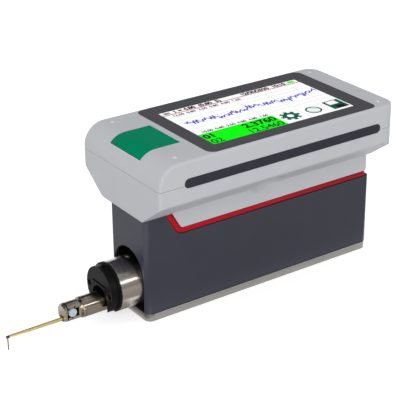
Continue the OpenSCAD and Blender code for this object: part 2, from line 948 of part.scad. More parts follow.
module guide_rod_far() {
    color("Gainsboro") x_rod(rod_r, x_bulk0 + 2, x_plate0 + 3, rod_y, z_rod);
}

module traverse_motor() {
    x0 = x_plate0 + plate_t;
    color("Silver") difference() {
        x_rod(motor_r, x0, x0 + motor_l, 0, z_spindle);
        x_rod(spindle_r + run_fit, x0 - over, x0 + 5, 0, z_spindle);
    }
}

module traverse_screw() {
    color("Gainsboro") x_rod(spindle_r, x_bulk0 + 1.8, x_plate0 + plate_t + 4.7, 0, z_spindle);
}

module carriage() {
    x1 = x_car + carriage_l;
    color("DarkGray") difference() {
        x_rod(carriage_r, x_car, x1, 0, z_axis);
        x_rod(pickup_r, x_car - over, x1 + over, 0, z_pick);
        both_sides() x_rod(rod_r + run_fit, x_car - over, x1 + over, rod_y, z_rod);
        x_rod(spindle_r + 0.5, x_car - over, x1 + over, 0, z_spindle);
        x_rod(nut_r, x_car - over, x_car + nut_l, 0, z_spindle);
    }
}

module traverse_nut() {
    color("Peru") difference() {
        x_rod(nut_r, x_car, x_car + nut_l, 0, z_spindle);
        x_rod(spindle_r + run_fit, x_car - over, x_car + nut_l + over, 0, z_spindle);
    }
}

module pickup_body() {
    color("Silver") {
        x_rod(pickup_r, x_pick + 1.6, x_car + carriage_l, 0, z_pick);
        x_rod(pickup_r - 0.3, x_pick + 1, x_pick + 1.6, 0, z_pick);
        x_rod(pickup_r, x_pick + 0.5, x_pick + 1, 0, z_pick);
        translate([x_pick, 0, z_pick]) rotate([0, 90, 0])
            cylinder(r1 = pickup_r - 0.4, r2 = pickup_r, h = 0.5);
    }
}

module pickup_head() {
    x_slit = x_plate + 1.3;
    color("Tan") difference() {
        union() {
            x_rod(head_r - 1, x_pick - neck_l, x_pick, 0, z_pick);
            intersection() {
                union() {
                    x_rod(head_r, x_plate + 0.9, x_pick - neck_l, 0, z_pick);
                    translate([x_plate, 0, z_pick]) rotate([0, 90, 0])
                        cylinder(r1 = head_r - 0.8, r2 = head_r, h = 0.9);
                }
                slab(x_plate - over, x_pick, flat_y, 0, z_axis + sleeve_r);
            }
        }
        difference() {
            x_rod(head_r + over, x_slit, x_slit + 0.6, 0, z_pick);
            x_rod(head_r - 2, x_slit - over, x_slit + over, 0, z_pick);
        }
        slab(x_plate - over, x_slit + 1.2, lever_y + fork_gap, 0, z_arm + 1.9);
        slab(x_slit + 0.9, x_pick - 2.2, lever_y + fork_gap, 0, z_pivot + 2.1);
        y_rod(pin_r, x_pivot, z_pivot, -flat_y - over, flat_y + over);
        both_sides() {
            translate([x_slit + 0.3, flat_y - pocket_t, z_pivot - 2.6])
                cube([x_pick - 2.5 - x_slit, pocket_t + over, 5]);
            y_rod(0.5, x_pivot - 2.1, z_pivot + 2.7, flat_y - 1, flat_y + over);
            y_rod(0.5, x_pivot + 1.4, z_pivot + 2.9, flat_y - 1, flat_y + over);
            y_rod(0.5, x_pivot - 0.3, z_pivot - 2.9, flat_y - 1, flat_y + over);
        }
    }
}

module pivot_caps() {
    y = flat_y - pocket_t;
    color("AliceBlue") both_sides() y_rod(cap_disc_r, x_pivot, z_pivot, y, y + cap_disc_t);
}

module pivot_pin() {
    y = flat_y - pocket_t;
    color("Gainsboro") y_rod(pin_r, x_pivot, z_pivot, -y, y);
}

module arm_holder() {
    x_step = x_plate + 2.8;
    color("RosyBrown") difference() {
        union() {
            slab(x_step, x_pick - 2.8, lever_y, z_arm - 1.1, z_pivot + 1.6);
            slab(x_arm, x_step + over, lever_y, z_arm - 1.1, z_arm + 1.2);
        }
        y_rod(pin_r + run_fit, x_pivot, z_pivot, -flat_y, flat_y);
    }
}

module probe_arm() {
    color("Khaki") translate([x_arm, 0, z_arm]) rotate([0, -90, 0])
        cylinder(r1 = arm_r0, r2 = arm_r1, h = arm_l - eye_r);
}

module stylus_tip() {
    color("Silver") {
        x_rod(eye_r, x_tip - eye_r, x_tip + eye_r, 0, z_arm);
        z_rod_at(needle_r, x_tip, 0, tip_gap + 1.2, z_arm);
        translate([x_tip, 0, tip_gap]) cylinder(r1 = 0.06, r2 = needle_r, h = 1.2);
    }
}

upper_shell();
lower_shell();
display_bezel();
touch_panel();
display_module();
side_strip_near();
side_strip_far();
top_studs();
start_button();
button_board();
button_switch();
button_screws();
main_board();
processor_shield();
port_socket();
board_screws();
battery_pack();
case_screws();
drive_housing();
trim_gasket();
joint_screws();
base_plate();
base_screws();
lift_motor();
lift_post_near();
lift_post_far();
lift_bridge();
bridge_screws();
drive_board();
drive_board_screws();
lift_screw();
lift_block();
lift_nut();
drive_sleeve();
end_cap();
sleeve_screw();
front_bulkhead();
motor_plate();
guide_rod_near();
guide_rod_far();
traverse_motor();
traverse_screw();
carriage();
traverse_nut();
pickup_body();
pickup_head();
pivot_caps();
pivot_pin();
arm_holder();
probe_arm();
stylus_tip();
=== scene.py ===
import math

import bmesh
import bpy
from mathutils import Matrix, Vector


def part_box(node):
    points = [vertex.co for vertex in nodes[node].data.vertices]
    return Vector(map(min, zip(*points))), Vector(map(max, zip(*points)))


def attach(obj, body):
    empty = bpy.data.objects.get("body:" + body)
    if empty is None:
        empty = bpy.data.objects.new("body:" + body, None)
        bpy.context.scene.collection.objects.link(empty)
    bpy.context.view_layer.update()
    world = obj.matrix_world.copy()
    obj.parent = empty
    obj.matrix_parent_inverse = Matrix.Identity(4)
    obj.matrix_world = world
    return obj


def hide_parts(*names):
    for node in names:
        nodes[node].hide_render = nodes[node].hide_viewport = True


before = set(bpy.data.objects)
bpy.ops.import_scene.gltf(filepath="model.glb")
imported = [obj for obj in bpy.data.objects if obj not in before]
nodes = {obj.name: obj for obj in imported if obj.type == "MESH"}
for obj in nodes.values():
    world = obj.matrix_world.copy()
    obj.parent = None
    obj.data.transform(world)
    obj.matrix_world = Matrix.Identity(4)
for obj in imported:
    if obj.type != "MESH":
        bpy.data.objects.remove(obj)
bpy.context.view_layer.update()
scene = bpy.context.scene
scene.view_settings.view_transform = "Standard"

MM = 0.001


# ---------------------------------------------------------------- camera

def place_camera():
    """The photograph's view: a long lens, 25 degrees above the bench, off the near front corner."""
    lens = bpy.data.cameras.new("photo_lens")
    lens.sensor_width = 36.0
    lens.lens = 116.79
    lens.clip_start = 0.05
    lens.clip_end = 20.0
    camera = bpy.data.objects.new("photo_camera", lens)
    camera.location = (-0.39587, -0.53132, 0.35419)
    camera.rotation_euler = [math.radians(a) for a in (64.994, 0.498, -34.752)]
    scene.collection.objects.link(camera)
    scene.camera = camera


place_camera()


# ---------------------------------------------------------------- helpers

BAND_RADIANS = 20.0                       # a wave texture's turn in one unit of its scale
FLAT_COSINE, EDGE_COSINE = 0.995, 0.85    # rounded normal against flat one, on a face and an edge


def linear(hex_colour):
    """An sRGB hex colour as linear RGBA."""
    parts = [int(hex_colour[i:i + 2], 16) / 255 for i in (0, 2, 4)]
    return [c / 12.92 if c <= 0.04045 else ((c + 0.055) / 1.055) ** 2.4 for c in parts] + [1.0]


def per_mm(size_mm):
    """Noise scale at which a pattern repeats about every size_mm."""
    return 1.0 / (size_mm * MM)


def bands_per_mm(period_mm):
    """Wave scale at which the bands repeat every period_mm."""
    return 2 * math.pi / (BAND_RADIANS * period_mm * MM)


def add(tree, kind, links=(), **settings):
    """One node: settings are its properties or sockets' values, links (socket, source or value)."""
    node = tree.nodes.new(kind)
    for key, value in settings.items():
        if hasattr(node, key):
            setattr(node, key, value)
        else:
            node.inputs[key.replace("_", " ")].default_value = value
    for socket, source in links:
        if isinstance(source, bpy.types.NodeSocket):
            tree.links.new(source, node.inputs[socket])
        else:
            node.inputs[socket].default_value = source
    return node


def new_material(name):
    """An empty node material, its tree and its output node."""
    material = bpy.data.materials.new(name)
    material.use_nodes = True
    tree = material.node_tree
    tree.nodes.clear()
    return material, tree, add(tree, "ShaderNodeOutputMaterial")


def make_piece(name, build, material):
    """The built mesh as an object in the scene."""
    mesh = bpy.data.meshes.new(name)
    build.to_mesh(mesh)
    build.free()
    mesh.materials.append(material)
    piece = bpy.data.objects.new(name, mesh)
    scene.collection.objects.link(piece)
    return piece


def edge_mask(tree, radius_mm):
    """0 on open faces, towards 1 on outer and inner edges."""
    bevel = add(tree, "ShaderNodeBevel", samples=4, Radius=radius_mm * MM)
    flat = add(tree, "ShaderNodeNewGeometry")
    along = add(tree, "ShaderNodeVectorMath",
                [(0, bevel.outputs[0]), (1, flat.outputs["Normal"])], operation="DOT_PRODUCT")
    return add(tree, "ShaderNodeMapRange", [("Value", along.outputs["Value"])],
               From_Min=FLAT_COSINE, From_Max=EDGE_COSINE, To_Min=0.0, To_Max=1.0).outputs[0]


def box_mask(tree, place, low, high):
    """1 where place lies between the two corners, else 0."""
    apart = add(tree, "ShaderNodeVectorMath", [(0, place), (1, (low + high) / 2)],
                operation="SUBTRACT")
    apart = add(tree, "ShaderNodeVectorMath", [(0, apart.outputs[0])], operation="ABSOLUTE")
    share = add(tree, "ShaderNodeVectorMath", [(0, apart.outputs[0]), (1, (high - low) / 2)],
                operation="DIVIDE")
    axes = add(tree, "ShaderNodeSeparateXYZ", [(0, share.outputs[0])])
    most = add(tree, "ShaderNodeMath", [(0, axes.outputs["X"]), (1, axes.outputs["Y"])],
               operation="MAXIMUM")
    most = add(tree, "ShaderNodeMath", [(0, most.outputs[0]), (1, axes.outputs["Z"])],
               operation="MAXIMUM")
    return add(tree, "ShaderNodeMath", [(0, most.outputs[0]), (1, 1.0)],
               operation="LESS_THAN").outputs[0]


def finish(name, colours, rough, grain, mottle_mm=18.0, metallic=0.0, ior=1.5, sheen=0.5,
           stretch=(1, 1, 1), edge_wear_and_highlight=None, painted_shade=None):
    """A made surface: colours are its dark and light hex, rough its lowest and highest roughness,
    grain its size and depth in mm, mottle_mm the size of its cloudy patches, sheen its specular
    level, stretch draws the grain out along an axis. The edge entry is the lighter edge colour,
    its reach in mm and its strength: part wear, part painted highlight. The shade entry is the
    colour painted as shade into its recesses, and the boxes, two corners each, round them."""
    material, tree, out = new_material(name)
    grain_mm, grain_depth_mm = grain
    place = add(tree, "ShaderNodeTexCoord").outputs["Object"]
    cloud = add(tree, "ShaderNodeTexNoise", [("Vector", place)], Scale=per_mm(mottle_mm),
                Detail=4.0)
    drawn = add(tree, "ShaderNodeMapping", [("Vector", place)], Scale=stretch)
    fine = add(tree, "ShaderNodeTexNoise", [("Vector", drawn.outputs[0])], Scale=per_mm(grain_mm),
               Detail=3.0)
    colour = add(tree, "ShaderNodeMixRGB", [("Fac", cloud.outputs["Fac"])],
                 Color1=linear(colours[0]), Color2=linear(colours[1])).outputs[0]
    # Lighter edges: part wear, part painted highlight.
    if edge_wear_and_highlight:
        edge_highlight_hex, reach_mm, strength = edge_wear_and_highlight
        rubbed_and_lit = add(tree, "ShaderNodeMath", [(0, edge_mask(tree, reach_mm)), (1, strength)],
                     operation="MULTIPLY")
        colour = add(tree, "ShaderNodeMixRGB", [("Fac", rubbed_and_lit.outputs[0]), ("Color1", colour)],
                     Color2=linear(edge_highlight_hex)).outputs[0]
    # Painted shade: the recess colour laid over each box.
    for low, high in painted_shade[1:] if painted_shade else ():
        inside = box_mask(tree, place, low, high)
        colour = add(tree, "ShaderNodeMixRGB", [("Fac", inside), ("Color1", colour)],
                     Color2=linear(painted_shade[0])).outputs[0]
    gloss = add(tree, "ShaderNodeMapRange", [("Value", fine.outputs["Fac"])],
                From_Min=0.3, From_Max=0.7, To_Min=rough[0], To_Max=rough[1])
    bump = add(tree, "ShaderNodeBump", [("Height", fine.outputs["Fac"])], Strength=0.6,
               Distance=grain_depth_mm * MM)
    shader = add(tree, "ShaderNodeBsdfPrincipled",
                 [("Base Color", colour), ("Roughness", gloss.outputs[0]),
                  ("Normal", bump.outputs[0])],
                 Metallic=metallic, IOR=ior, Specular_IOR_Level=sheen)
    tree.links.new(shader.outputs[0], out.inputs["Surface"])
    return material


def turned_metal(name, colours, rough, ring_mm, ring_depth_mm):
    """A surface turned about X: tool rings ring_mm apart draw the highlights out along the axis."""
    material, tree, out = new_material(name)
    place = add(tree, "ShaderNodeTexCoord").outputs["Object"]
    rings = add(tree, "ShaderNodeTexWave", [("Vector", place)], bands_direction="X",
                Scale=bands_per_mm(ring_mm), Distortion=0.6, Detail=3.0, Detail_Scale=2.0)
    cloud = add(tree, "ShaderNodeTexNoise", [("Vector", place)], Scale=per_mm(6.0), Detail=3.0)
    tint = add(tree, "ShaderNodeMixRGB", [("Fac", cloud.outputs["Fac"])],
               Color1=linear(colours[0]), Color2=linear(colours[1]))
    gloss = add(tree, "ShaderNodeMapRange", [("Value", rings.outputs["Fac"])],
                To_Min=rough[0], To_Max=rough[1])
    bump = add(tree, "ShaderNodeBump", [("Height", rings.outputs["Fac"])], Strength=0.3,
               Distance=ring_depth_mm * MM)
    round_axis = add(tree, "ShaderNodeTangent", direction_type="RADIAL", axis="X")
    shader = add(tree, "ShaderNodeBsdfPrincipled",
                 [("Base Color", tint.outputs[0]), ("Roughness", gloss.outputs[0]),
                  ("Normal", bump.outputs[0]), ("Tangent", round_axis.outputs[0])],
                 Metallic=1.0, Anisotropic=0.8, Anisotropic_Rotation=0.25)
    tree.links.new(shader.outputs[0], out.inputs["Surface"])
    return material


# ---------------------------------------------------------------- finishes

# ABS moulded in a spark-eroded tool: an even light grey with a dull, faintly pebbled skin
# Its edges are lighter: part wear, part painted highlight.
moulded_grey_abs = finish(
    "moulded_grey_abs", ("B7B9BC", "BEC0C3"), (0.44, 0.56), (0.5, 0.012), ior=1.54, sheen=0.22,
    edge_wear_and_highlight=("E2E4E6", 0.5, 0.7))
# ABS frame from a smoother tool: charcoal with a soft sheen
# Its edges are lighter: part wear, part painted highlight.
moulded_charcoal_abs = finish(
    "moulded_charcoal_abs", ("454448", "4B4A4F"), (0.4, 0.5), (0.4, 0.006), ior=1.54, sheen=0.2,
    edge_wear_and_highlight=("6A686D", 0.3, 0.5))
# Overmoulded thermoplastic rubber: blue-black, matt; edges lighter from rubbing and painted
# highlight
moulded_grip_rubber = finish(
    "moulded_grip_rubber", ("272932", "30323C"), (0.5, 0.65), (0.35, 0.02), ior=1.52, sheen=0.25,
    edge_wear_and_highlight=("50515C", 0.6, 0.6))
# Moulded rubber studs pressed into the top: pale grey points with a small bright gleam
moulded_stud_rubber = finish(
    "moulded_stud_rubber", ("CBCDD0", "D8DADC"), (0.22, 0.32), (0.3, 0.008), ior=1.52)
# Moulded ABS key: satin green, dyed right through
# Its edges are lighter: part wear, part painted highlight.
moulded_green_abs = finish(
    "moulded_green_abs", ("007B56", "00865F"), (0.42, 0.52), (0.5, 0.008), ior=1.54, sheen=0.01,
    edge_wear_and_highlight=("0A9670", 0.4, 0.4))
# Powder-coated aluminium: slate, with the low orange peel of baked powder, edges paler from rubbing
# and painted highlight; the mouth and the inside are painted near black as painted shade. The
# painted-shade box starts 1.3 mm inside of the walls and runs past the housing's top and bottom.
PAINTED_SHADE_INSET = Vector((1.3, 1.3, -1.0)) * MM
housing_low, housing_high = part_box("drive_housing")
powder_coated_aluminium = finish(
    "powder_coated_aluminium", ("30313E", "363745"), (0.4, 0.5), (0.7, 0.014),
    edge_wear_and_highlight=("585864", 0.5, 0.6),
    painted_shade=("040404", (housing_low + PAINTED_SHADE_INSET, housing_high - PAINTED_SHADE_INSET)))
# Moulded polyurethane bead: solid red with a soft gloss
moulded_red_polyurethane = finish(
    "moulded_red_polyurethane", ("A60A1E", "B21024"), (0.3, 0.4), (0.5, 0.006), sheen=0.12)
# Ground steel: straight grinding lines along the foot; its near-white edges are painted highlight
ground_steel = finish(
    "ground_steel", ("8E8C88", "A19F9B"), (0.26, 0.42), (0.3, 0.006), mottle_mm=9.0, metallic=1.0,
    stretch=(0.04, 1, 1), edge_wear_and_highlight=("FFFDF8", 0.5, 0.9))
# Blackened steel: burnished black oxide with a dull sheen
# Its edges are lighter: part wear, part painted highlight.
blackened_steel = finish(
    "blackened_steel", ("0B0B0B", "101010"), (0.38, 0.5), (0.4, 0.006), sheen=0.15,
    edge_wear_and_highlight=("343434", 0.3, 0.5))
# Zinc-plated screw steel: silvery, with fine cut marks
plated_screw_steel = finish(
    "plated_screw_steel", ("A8A8A6", "BDBDBA"), (0.28, 0.4), (0.2, 0.004), mottle_mm=2.0,
    metallic=1.0)
# Tinned sheet over the processor and round the port: dull silver in cloudy patches
tinned_sheet = finish(
    "tinned_sheet", ("AEAFB0", "C2C3C3"), (0.35, 0.5), (0.6, 0.004), mottle_mm=4.0, metallic=1.0)
# Circuit board: green solder mask over copper, slightly wavy
solder_mask_green = finish(
    "solder_mask_green", ("0F4A2C", "175C38"), (0.3, 0.42), (1.2, 0.01), mottle_mm=4.0)
# Moulded nylon switch body: black and half matt
moulded_black_nylon = finish(
    "moulded_black_nylon", ("161617", "1E1E20"), (0.45, 0.55), (0.4, 0.01))
# Shrink-wrapped PVC round the battery cells: blue, smooth, with soft wrinkles
shrink_wrapped_pvc = finish(
    "shrink_wrapped_pvc", ("24477A", "2B5490"), (0.3, 0.4), (2.0, 0.03))
# Black painted sheet round the display: near black with a low shine
black_painted_sheet = finish(
    "black_painted_sheet", ("0B0B0C", "121214"), (0.3, 0.4), (0.4, 0.004))
# Milled aluminium inside the drive: pale, with cutter lines across
milled_aluminium = finish(
    "milled_aluminium", ("A9ABAD", "BFC0C1"), (0.3, 0.42), (0.4, 0.005), mottle_mm=6.0,
    metallic=1.0, stretch=(1, 0.1, 1))
# Sintered bronze nuts: brown gold with a fine grain
sintered_bronze = finish(
    "sintered_bronze", ("8A6534", "A0773E"), (0.4, 0.55), (0.5, 0.01), mottle_mm=3.0, metallic=1.0)
# Turned metals: real tool rings are too fine to show, so they're drawn 2.5 to 3 mm apart.
# Hardened and ground rods and spindles: bright, with long highlights
hardened_steel = turned_metal(
    "hardened_steel", ("A6A6A5", "BBBBBA"), (0.18, 0.26), 3.14, 0.002)
# Turned stainless sleeve: warm silver, with highlights that run as bands
turned_stainless_sleeve = turned_metal(
    "turned_stainless_sleeve", ("C8C2BA", "D4CEC6"), (0.2, 0.26), 3.14, 0.0006)
# Turned and polished pick-up: a little warmer and sharper
turned_stainless_pickup = turned_metal(
    "turned_stainless_pickup", ("B4AC9E", "C2BAAB"), (0.14, 0.2), 2.51, 0.0005)
# Milled head of the pick-up: warm grey from its nickel plate, its edges lighter as painted
# highlight;
# slit, pocket and holes painted dark as painted shade. Their boxes are in mm from its lowest
# corner.
SLIT = ((1.28, -1, -1), (1.92, 10, 12))
POCKET = ((1.25, 0.25, 2.35), (8.35, 8.15, 8.45))
head_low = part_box("pickup_head")[0]
shaded_recesses = [[head_low + Vector(corner) * MM for corner in recess] for recess in (SLIT, POCKET)]
nickel_plated_head = finish(
    "nickel_plated_head", ("C4BCAE", "D2CABC"), (0.2, 0.3), (0.3, 0.004), mottle_mm=2.0,
    metallic=1.0, edge_wear_and_highlight=("F0E9D8", 0.2, 0.8), painted_shade=("1E1914", *shaded_recesses))
# Ground ceramic end caps of the pivot: pale blue-grey, smooth
ground_ceramic = finish(
    "ground_ceramic", ("B0BBC4", "C4CDD4"), (0.25, 0.35), (0.3, 0.004), mottle_mm=1.5, ior=1.7)
# Ground carbide stylus: dark grey against the light
ground_carbide = finish(
    "ground_carbide", ("5C5C5F", "6E6E71"), (0.25, 0.35), (0.1, 0.001), mottle_mm=1.0,
    metallic=1.0)
# Milled brass holder: dull, browned gold
milled_brass = finish(
    "milled_brass", ("8A7A5C", "A39270"), (0.28, 0.4), (0.3, 0.004), mottle_mm=2.0, metallic=1.0)
# Drawn brass arm: pale gold with die lines along it
drawn_brass = finish(
    "drawn_brass", ("F0D894", "FCE8AE"), (0.5, 0.6), (0.2, 0.003), mottle_mm=3.0, metallic=1.0,
    stretch=(0.05, 1, 1))


def cover_glass():
    """Strengthened glass with an anti-reflection coat: clear, with a whisper of finger haze."""
    material, tree, out = new_material("strengthened_glass")
    place = add(tree, "ShaderNodeTexCoord").outputs["Object"]
    haze = add(tree, "ShaderNodeTexNoise", [("Vector", place)], Scale=per_mm(14.0), Detail=5.0)
    gloss = add(tree, "ShaderNodeMapRange", [("Value", haze.outputs["Fac"])],
                From_Min=0.4, From_Max=0.7, To_Min=0.0, To_Max=0.06)
    shader = add(tree, "ShaderNodeBsdfPrincipled", [("Roughness", gloss.outputs[0])], IOR=1.5,
                 Specular_IOR_Level=0.06, Transmission_Weight=1.0, Base_Color=(1, 1, 1, 1))
    tree.links.new(shader.outputs[0], out.inputs["Surface"])
    return material


BACKLIGHT = 1.2
PIXEL_ROW_MM = 2.51


def lit_pixels(name, hex_colour, dark_hex):
    """Backlit screen colour: pixel rows 0.2 mm apart are drawn 2.5 mm apart, so that they show."""
    material, tree, out = new_material(name)
    place = add(tree, "ShaderNodeTexCoord").outputs["Object"]
    rows = add(tree, "ShaderNodeTexWave", [("Vector", place)], bands_direction="Y",
               Scale=bands_per_mm(PIXEL_ROW_MM))
    tint = add(tree, "ShaderNodeMixRGB", [("Fac", rows.outputs["Fac"])],
               Color1=linear(dark_hex), Color2=linear(hex_colour))
    shader = add(tree, "ShaderNodeBsdfPrincipled", [("Emission Color", tint.outputs[0])],
                 Emission_Strength=BACKLIGHT, Roughness=0.5, Specular_IOR_Level=0.0,
                 Base_Color=(0, 0, 0, 1))
    tree.links.new(shader.outputs[0], out.inputs["Surface"])
    return material


strengthened_glass = cover_glass()
lit_white = lit_pixels("lit_white_pixels", "FFFFFF", "FAFAFA")
lit_green = lit_pixels("lit_green_pixels", "00FC02", "00F202")
lit_blue = lit_pixels("lit_blue_pixels", "4A42CC", "423AC0")
lit_pink = lit_pixels("lit_pink_pixels", "C8566A", "BE4C60")
lit_mint = lit_pixels("lit_mint_pixels", "D4E8E2", "CCE0DA")
lit_pale = lit_pixels("lit_pale_grey_pixels", "DCDCDE", "D4D4D6")
lit_ink = lit_pixels("lit_ink_pixels", "1C1C20", "141418")
lit_icon = lit_pixels("lit_dark_green_pixels", "00644B", "005A43")

FINISH_OF = {
    moulded_grey_abs: ("upper_shell", "lower_shell"),
    moulded_charcoal_abs: ("display_bezel",),
    strengthened_glass: ("touch_panel",),
    black_painted_sheet: ("display_module",),
    moulded_grip_rubber: ("side_strip_near", "side_strip_far"),
    moulded_stud_rubber: ("top_studs",),
    moulded_green_abs: ("start_button",),
    solder_mask_green: ("button_board", "main_board", "drive_board"),
    moulded_black_nylon: ("button_switch",),
    plated_screw_steel: ("button_screws", "board_screws", "case_screws", "joint_screws",
                         "base_screws", "bridge_screws", "drive_board_screws", "sleeve_screw"),
    tinned_sheet: ("processor_shield", "port_socket"),
    shrink_wrapped_pvc: ("battery_pack",),
    powder_coated_aluminium: ("drive_housing",),
    moulded_red_polyurethane: ("trim_gasket",),
    ground_steel: ("base_plate",),
    milled_aluminium: ("lift_motor", "lift_bridge", "lift_block", "front_bulkhead", "motor_plate",
                       "carriage", "traverse_motor"),
    hardened_steel: ("lift_post_near", "lift_post_far", "lift_screw", "guide_rod_near",
                     "guide_rod_far", "traverse_screw", "pivot_pin"),
    sintered_bronze: ("lift_nut", "traverse_nut"),
    turned_stainless_sleeve: ("drive_sleeve",),
    blackened_steel: ("end_cap",),
    turned_stainless_pickup: ("pickup_body",),
    nickel_plated_head: ("pickup_head",),
    ground_ceramic: ("pivot_caps",),
    milled_brass: ("arm_holder",),
    drawn_brass: ("probe_arm",),
    ground_carbide: ("stylus_tip",),
}
for surface, names in FINISH_OF.items():
    for name in names:
        nodes[name].data.materials.clear()
        nodes[name].data.materials.append(surface)


# ---------------------------------------------------------------- eased edges

WELD_MM = 0.002
SHARP_ANGLE = math.radians(35.0)
EASED = (   # piece, width in mm, segments
    ("drive_housing", 0.4, 2), ("base_plate", 0.5, 2), ("display_bezel", 0.12, 2),
    ("start_button", 0.3, 2), ("side_strip_near", 0.5, 3), ("side_strip_far", 0.5, 3),
    ("arm_holder", 0.15, 2),
)


def ease_edges(name, width_mm, segments):
    """Breaks a solid's sharp edges by width_mm, as moulding, painting or deburring leaves them."""
    solid = nodes[name]
    weld = solid.modifiers.new("joined_faces", "WELD")
    weld.merge_threshold = WELD_MM * MM
    round_off = solid.modifiers.new("eased_edges", "BEVEL")
    round_off.width = width_mm * MM
    round_off.segments = segments
    round_off.limit_method = "ANGLE"
    round_off.angle_limit = SHARP_ANGLE
    round_off.harden_normals = True


for name, width_mm, segments in EASED:
    ease_edges(name, width_mm, segments)


# ---------------------------------------------------------------- red bead

BEND_X, BEND_Z, BEND_R = -53.6, 52.8, 2.0   # middle and inner radius of the pedestal's bend, in mm
BEND_SLANT = math.radians(60.0)             # how far the bead climbs at the front
BEND_STEPS = 12
SIDE_STEPS = 12                             # round each side of its section
REAR_INSET = 1.5                            # it stops this far before the gasket's end, in mm


def roll_bead():
    """The half-round bead between hand unit and drive: one section drawn along the pedestal."""
    low, high = (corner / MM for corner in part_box("trim_gasket"))
    half_w = high.y
    half_t = (BEND_Z - BEND_R - low.z) / 2
    round_side = [math.radians(-90 + 180 * i / SIDE_STEPS) for i in range(SIDE_STEPS + 1)]
    across = [(side * (half_w - half_t + half_t * math.cos(a)), side * half_t * math.sin(a))
              for side in (1, -1) for a in round_side]
    round_bend = [BEND_SLANT * (1 - i / BEND_STEPS) for i in range(BEND_STEPS + 1)]
    turns = [BEND_SLANT] + round_bend + [0.0]
    build = bmesh.new()
    rings = []
    for step, turn in enumerate(turns):
        ring = []
        for y, lift in across:
            reach = BEND_R + half_t - lift
            x, z = BEND_X - reach * math.sin(turn), BEND_Z - reach * math.cos(turn)
            if step == 0:
                x -= (high.z - z) / math.tan(BEND_SLANT)
                z = high.z
            elif step == len(turns) - 1:
                x = high.x - REAR_INSET
            ring.append(build.verts.new((x * MM, y * MM, z * MM)))
        rings.append(ring)
    for a, b in zip(rings, rings[1:]):
        for i in range(len(a)):
            build.faces.new((a[i - 1], a[i], b[i], b[i - 1]))
    build.faces.new(rings[0])
    build.faces.new(rings[-1])
    bmesh.ops.recalc_face_normals(build, faces=build.faces)
    for face in build.faces:
        face.smooth = len(face.verts) == 4
    bead = make_piece("half_round_bead", build, moulded_red_polyurethane)
    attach(bead, "case")
    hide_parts("trim_gasket")


roll_bead()


# ---------------------------------------------------------------- screen picture

# Places on the screen are (u, v) in mm from its front near corner; layers are stacked sheets
SCREEN_SIZE = Vector((95.04, 53.86))
SCREEN_LOW = Vector((8.0, 0.0)) - SCREEN_SIZE / 2
PANEL_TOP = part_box("display_module")[1].z
SHEET_T = 0.012 * MM
JOIN_MM = 0.001
STROKE_TIP = 0.3       # a span runs on by this share of its width, so that spans meet
EM_PER_FIGURE = 1.4    # font size over the height of its figures


def on_screen(u, v):
    """A place on the screen, as x and y in metres."""
    return (SCREEN_LOW + Vector((u, v))) * MM


def screen_piece(name, outlines, material, layer):
    """One colour of the picture: a closed thin sheet over flat outlines."""
    build = bmesh.new()
    top = PANEL_TOP + (layer + 1) * SHEET_T
    for outline in outlines:
        build.faces.new([build.verts.new((*on_screen(*place), top)) for place in outline])
    bmesh.ops.remove_doubles(build, verts=build.verts, dist=JOIN_MM * MM)
    bmesh.ops.recalc_face_normals(build, faces=build.faces)
    grown = bmesh.ops.extrude_face_region(build, geom=build.faces[:], use_keep_orig=True)
    for item in grown["geom"]:
        if isinstance(item, bmesh.types.BMVert):
            item.co.z -= SHEET_T
    bmesh.ops.recalc_face_normals(build, faces=build.faces)
    piece = make_piece(name, build, material)
    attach(piece, "case")


def bar(u0, v0, u1, v1):
    """A level rectangle."""
    return [(u0, v0), (u1, v0), (u1, v1), (u0, v1)]


def arc(u, v, r, start, end, steps):
    """Points on a circle, angles in degrees."""
    angles = [math.radians(start + (end - start) * i / steps) for i in range(steps + 1)]
    return [(u + r * math.cos(a), v + r * math.sin(a)) for a in angles]


def band(u, v, r_in, r_out, start, end, steps):
    """A piece of a ring."""
    return arc(u, v, r_out, start, end, steps) + arc(u, v, r_in, end, start, steps)


def stroke(path, width):
    """A line of the given width along a path, as one outline per span."""
    spans = []
    for a, b in zip(path, path[1:]):
        a, b = Vector(a), Vector(b)
        ahead = (b - a).normalized()
        side = ahead.orthogonal() * width / 2
        tip = ahead * width * STROKE_TIP
        spans.append([a - tip - side, b + tip - side, b + tip + side, a - tip + side])
    return spans


def figures(name, lines, material, layer):
    """Plain numbers: lines are (text, u, v, height in mm, boldness in mm, alignment)."""
    for count, (text, u, v, height, boldness, align) in enumerate(lines):
        curve = bpy.data.curves.new(f"{name}_{count}", "FONT")
        curve.body = text
        curve.size = height * EM_PER_FIGURE * MM
        curve.align_x = align
        curve.extrude = SHEET_T / 2
        curve.offset = boldness * MM
        curve.resolution_u = 3
        words = bpy.data.objects.new(f"{name}_{count}", curve)
        scene.collection.objects.link(words)
        words.location = (*on_screen(u, v), PANEL_TOP + (layer + 0.5) * SHEET_T)
        bpy.context.view_layer.update()
        shaped = words.evaluated_get(bpy.context.evaluated_depsgraph_get())
        mesh = bpy.data.meshes.new_from_object(shaped)
        mesh.transform(words.matrix_world)
        bpy.data.objects.remove(words)
        mesh.materials.clear()
        mesh.materials.append(material)
        piece = bpy.data.objects.new(f"{name}_{count}", mesh)
        scene.collection.objects.link(piece)
        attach(piece, "case")


